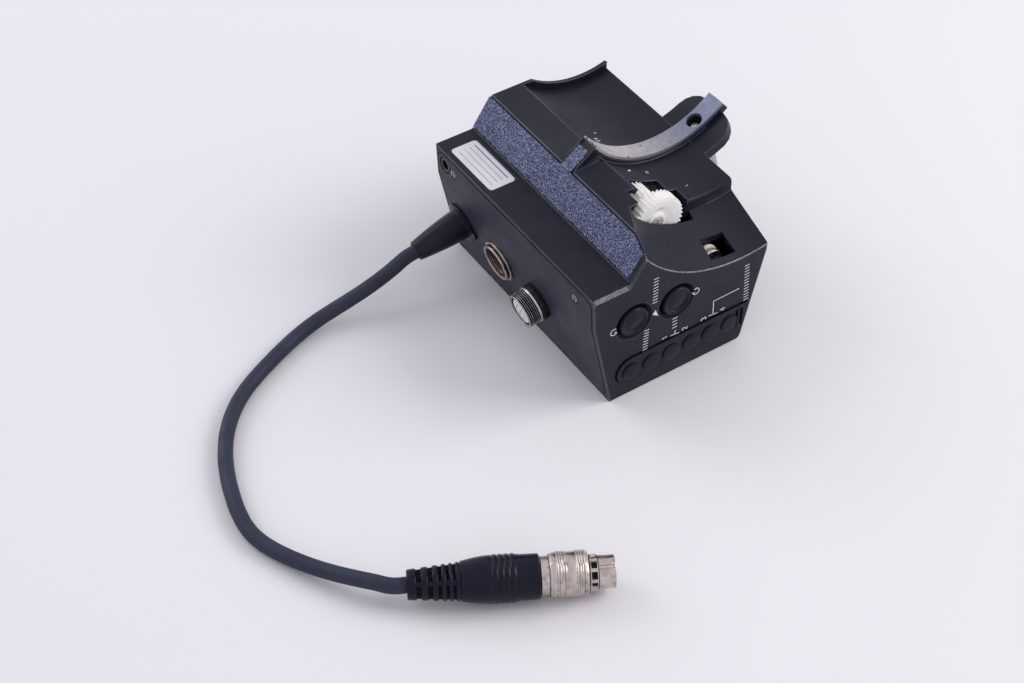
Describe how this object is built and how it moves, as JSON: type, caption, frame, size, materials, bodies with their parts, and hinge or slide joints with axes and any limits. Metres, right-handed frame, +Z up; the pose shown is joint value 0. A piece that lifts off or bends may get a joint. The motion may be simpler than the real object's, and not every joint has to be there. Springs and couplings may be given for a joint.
{
  "type": "servo focus drive unit",
  "caption": "Lens-mounted servo focus drive: saddle housing with a geared drive, push buttons, sockets, a captive thumb screw and a short cable that ends in a round plug.",
  "frame": {"origin": "centre of the flat base, on the surface that the unit stands on", "axes": "+Z up from the base, +Y along the body from the button wall to the cable end, +X across from the connector panel to the thumb screw"},
  "size_m": [0.1988, 0.1542, 0.0655],
  "materials": {
    "satin_black": "fine textured satin black, chipped and scuffed at the edges",
    "panel_black": "satin charcoal with fine speckle",
    "speckled_blue": "blue with light speckles",
    "label_white": "satin white",
    "satin_aluminium": "satin, lightly scratched",
    "steel": "turned, worn",
    "nickel": "nickel plate, scratched",
    "chrome": "bright plate",
    "black_metal": "black oxide",
    "brass": "machined",
    "rubber": "satin moulded rubber",
    "cable": "matte jacket",
    "insert": "moulded insulator",
    "white_plastic": "moulded white",
    "white_nylon": "natural nylon, slightly translucent",
    "acetal": "moulded tan",
    "cream_ring": "pale satin ring",
    "board_green": "coated board",
    "board_part": "moulded component"
  },
  "bodies": {
    "housing": {"main_housing": "satin_black", "connector_panel": "panel_black", "base_cover": "satin_black", "base_screw_1": "steel", "base_screw_2": "steel", "base_screw_3": "steel", "base_screw_4": "steel", "panel_screw_front": "steel", "panel_screw_rear": "steel", "deco_band": "speckled_blue", "label_plate": "label_white", "saddle_strip": "satin_aluminium", "drive_axle": "steel", "drive_gear_screw": "steel", "idler_axle": "steel", "gear_plate": "satin_aluminium", "motor_plate": "satin_aluminium", "drive_motor": "steel", "position_sensor": "board_part", "main_board": "board_green", "control_board": "board_green", "switch_left": "board_part", "switch_right": "board_part", "trimmer_bank": "board_part", "cable_boot": "rubber", "gland_nut": "nickel", "ring_socket_shell": "nickel", "ring_socket_insert": "insert", "thread_socket_shell": "chrome", "thread_socket_collar": "black_metal", "thread_socket_insert": "white_plastic", "side_socket": "nickel", "cable": "cable", "plug_boot": "rubber", "plug_core": "nickel", "plug_nose": "nickel", "plug_insert": "insert"},
    "drive": {"drive_gear": "white_nylon"},
    "idler": {"idler_gear": "acetal"},
    "clutch": {"clutch_shaft": "black_metal", "clutch_pinion": "brass", "clutch_wheel": "acetal", "clutch_ring_cream": "cream_ring", "clutch_ring_silver": "steel"},
    "motor_rotor": {"motor_pinion": "brass"},
    "sensor_rotor": {"sensor_gear": "white_nylon"},
    "clamp_washer": {"screw_washer": "steel"},
    "clamp": {"clamp_screw": "steel"},
    "button_a": {"button_left": "rubber"},
    "button_b": {"button_right": "rubber"},
    "cover": {"trimmer_cover": "rubber"},
    "rotor_1": {"trimmer_rotor_1": "white_plastic"},
    "rotor_2": {"trimmer_rotor_2": "white_plastic"},
    "rotor_3": {"trimmer_rotor_3": "white_plastic"},
    "rotor_4": {"trimmer_rotor_4": "white_plastic"},
    "rotor_5": {"trimmer_rotor_5": "white_plastic"},
    "rotor_6": {"trimmer_rotor_6": "white_plastic"},
    "sleeve": {"plug_sleeve": "nickel"}
  },
  "joints": [
    {"name": "drive_spin", "type": "hinge", "parent": "housing", "child": "drive", "pos_m": [0.00215, -0.0253, 0.0492], "axis": [0, 1, 0], "continuous": true},
    {"name": "idler_spin", "type": "hinge", "parent": "housing", "child": "idler", "pos_m": [0.00247, -0.0111, 0.03562], "axis": [0, 1, 0], "continuous": true},
    {"name": "clutch_spin", "type": "hinge", "parent": "housing", "child": "clutch", "pos_m": [0.01605, -0.0111, 0.0353], "axis": [0, 1, 0], "continuous": true},
    {"name": "motor_spin", "type": "hinge", "parent": "housing", "child": "motor_rotor", "pos_m": [0.01395, -0.007, 0.0234], "axis": [0, 1, 0], "continuous": true},
    {"name": "sensor_spin", "type": "hinge", "parent": "housing", "child": "sensor_rotor", "pos_m": [-0.00894, -0.0165, 0.04227], "axis": [0, 1, 0], "continuous": true},
    {"name": "clamp_travel", "type": "slide", "parent": "housing", "child": "clamp_washer", "axis": [-0.2385, 0, 0.9711], "range_m": [0, 0.0025]},
    {"name": "clamp_turn", "type": "hinge", "parent": "clamp_washer", "child": "clamp", "pos_m": [0.03777, 0.001, 0.05536], "axis": [-0.2385, 0, 0.9711], "range_deg": [-5, 905]},
    {"name": "button_left_press", "type": "slide", "parent": "housing", "child": "button_a", "axis": [0, 1, 0], "range_m": [0, 0.0008], "stiffness_N_per_m": 800},
    {"name": "button_right_press", "type": "slide", "parent": "housing", "child": "button_b", "axis": [0, 1, 0], "range_m": [0, 0.0008], "stiffness_N_per_m": 800},
    {"name": "trimmer_cover_pull", "type": "slide", "parent": "housing", "child": "cover", "axis": [0, -1, 0], "range_m": [0, 0.006]},
    {"name": "trimmer_1_turn", "type": "hinge", "parent": "housing", "child": "rotor_1", "pos_m": [-0.01885, -0.0415, 0.0106], "axis": [0, 1, 0], "range_deg": [-135, 135]},
    {"name": "trimmer_2_turn", "type": "hinge", "parent": "housing", "child": "rotor_2", "pos_m": [-0.01099, -0.0415, 0.0106], "axis": [0, 1, 0], "range_deg": [-135, 135]},
    {"name": "trimmer_3_turn", "type": "hinge", "parent": "housing", "child": "rotor_3", "pos_m": [-0.00313, -0.0415, 0.0106], "axis": [0, 1, 0], "range_deg": [-135, 135]},
    {"name": "trimmer_4_turn", "type": "hinge", "parent": "housing", "child": "rotor_4", "pos_m": [0.00473, -0.0415, 0.0106], "axis": [0, 1, 0], "range_deg": [-135, 135]},
    {"name": "trimmer_5_turn", "type": "hinge", "parent": "housing", "child": "rotor_5", "pos_m": [0.01259, -0.0415, 0.0106], "axis": [0, 1, 0], "range_deg": [-135, 135]},
    {"name": "trimmer_6_turn", "type": "hinge", "parent": "housing", "child": "rotor_6", "pos_m": [0.02045, -0.0415, 0.0106], "axis": [0, 1, 0], "range_deg": [-135, 135]},
    {"name": "plug_sleeve_pull", "type": "slide", "parent": "housing", "child": "sleeve", "axis": [-0.8775, 0.4796, 0], "range_m": [0, 0.0015], "stiffness_N_per_m": 800}
  ],
  "couplings": [
    {"joint": "idler_spin", "follows": "drive_spin", "ratio": -2.375},
    {"joint": "clutch_spin", "follows": "drive_spin", "ratio": 6.7857},
    {"joint": "motor_spin", "follows": "drive_spin", "ratio": -20.357},
    {"joint": "sensor_spin", "follows": "drive_spin", "ratio": -0.73333},
    {"joint": "clamp_turn", "follows": "clamp_travel", "rad_per_m": 6283.2}
  ]
}
